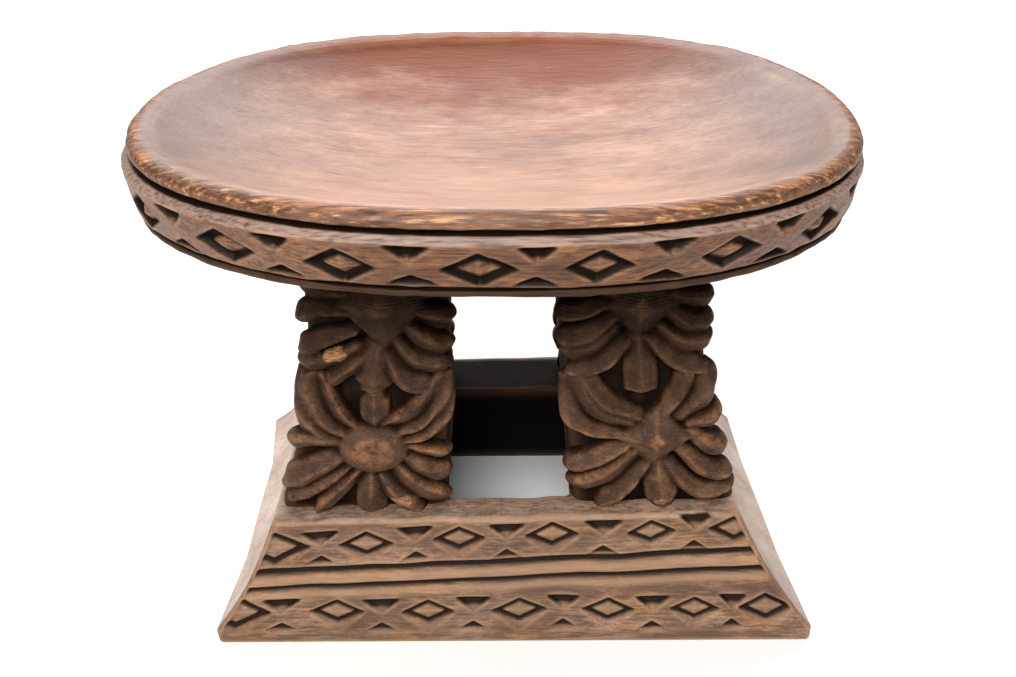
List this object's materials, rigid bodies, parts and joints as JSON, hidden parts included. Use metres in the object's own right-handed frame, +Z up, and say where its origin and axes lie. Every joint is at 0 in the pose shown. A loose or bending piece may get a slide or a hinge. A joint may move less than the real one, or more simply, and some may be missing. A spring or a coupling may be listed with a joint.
{
  "type": "carved headrest stool",
  "caption": "Carved wooden stool form with an oval dished top, relief-carved posts and a flared hollow base with chip-carved bands.",
  "frame": {"origin": "on the floor, under the middle of the seat", "axes": "+X along the length of the seat, +Y from front to back, +Z up"},
  "size_m": [0.44, 0.321, 0.33],
  "materials": {
    "seat_wood": "hand-rubbed carved hardwood, worn satin on the dish",
    "post_wood": "dark stained carved hardwood",
    "relief_wood": "dark stained carved hardwood with worn crests",
    "base_wood": "dry carved hardwood with dusty faces"
  },
  "bodies": {
    "root": {"seat": "seat_wood", "base": "base_wood", "post_front_left": "post_wood", "post_front_right": "post_wood", "post_back_left": "post_wood", "post_back_right": "post_wood", "relief_front_left_lower": "relief_wood", "relief_front_left_upper": "relief_wood", "relief_front_right_lower": "relief_wood", "relief_front_right_upper": "relief_wood", "relief_back_left_lower": "relief_wood", "relief_back_left_upper": "relief_wood", "relief_back_right_lower": "relief_wood", "relief_back_right_upper": "relief_wood"}
  },
  "joints": []
}
